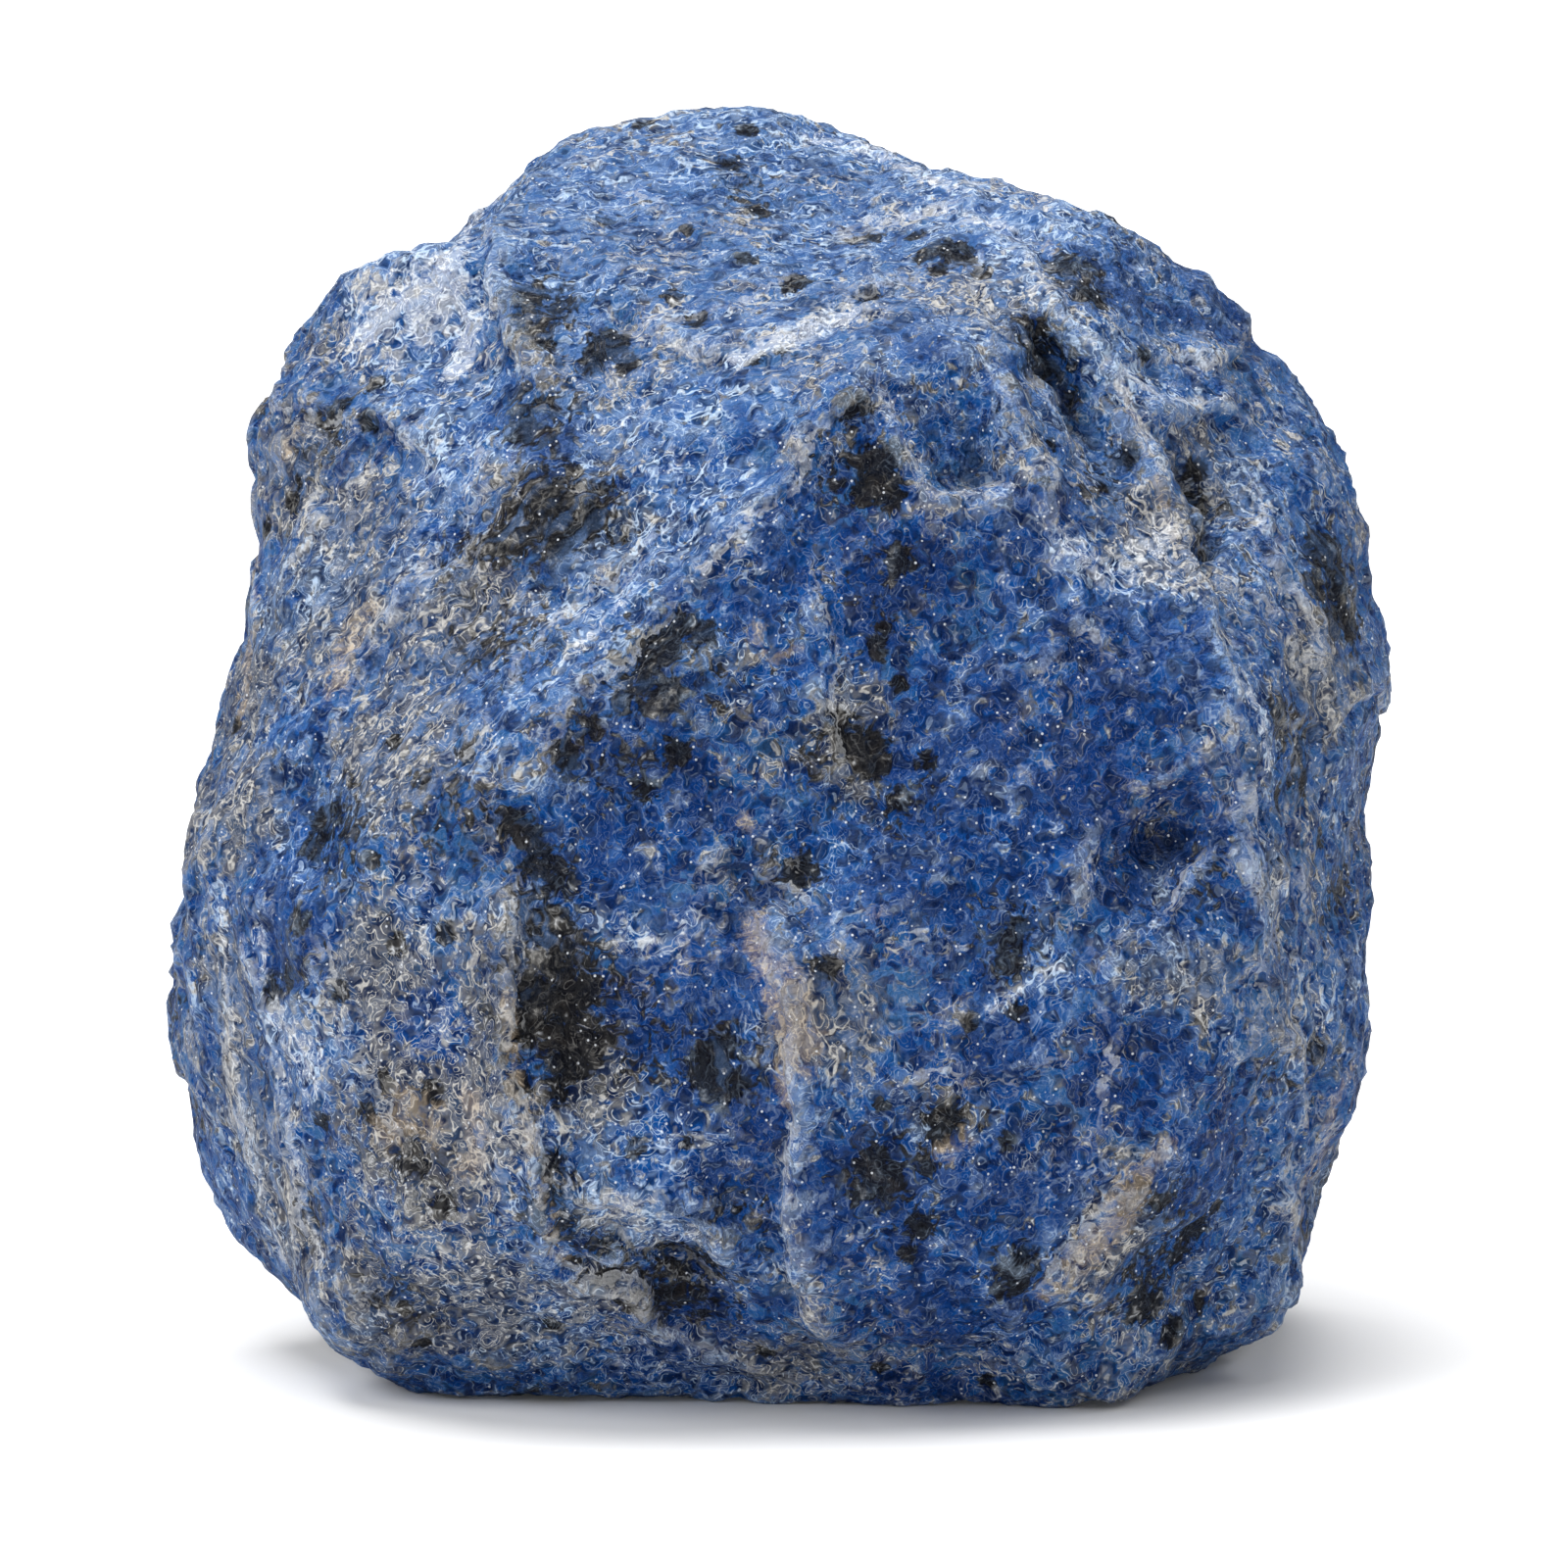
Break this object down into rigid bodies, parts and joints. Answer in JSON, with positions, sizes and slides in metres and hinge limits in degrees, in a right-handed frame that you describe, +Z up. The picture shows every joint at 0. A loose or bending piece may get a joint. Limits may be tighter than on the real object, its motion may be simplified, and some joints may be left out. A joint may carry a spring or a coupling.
{
  "type": "rough dumortierite stone",
  "caption": "Palm-size lump of rough blue stone with broken faces, ledges and pits, standing on a small flat spot.",
  "frame": {"origin": "on the ground, under the middle of the stone's bounding box", "axes": "+Z up, -Y towards the viewer of the broad ridged face, +X to that viewer's right"},
  "size_m": [0.069, 0.0612, 0.069],
  "materials": {
    "dumortierite": "matte"
  },
  "bodies": {
    "root": {"stone": "dumortierite"}
  },
  "joints": []
}
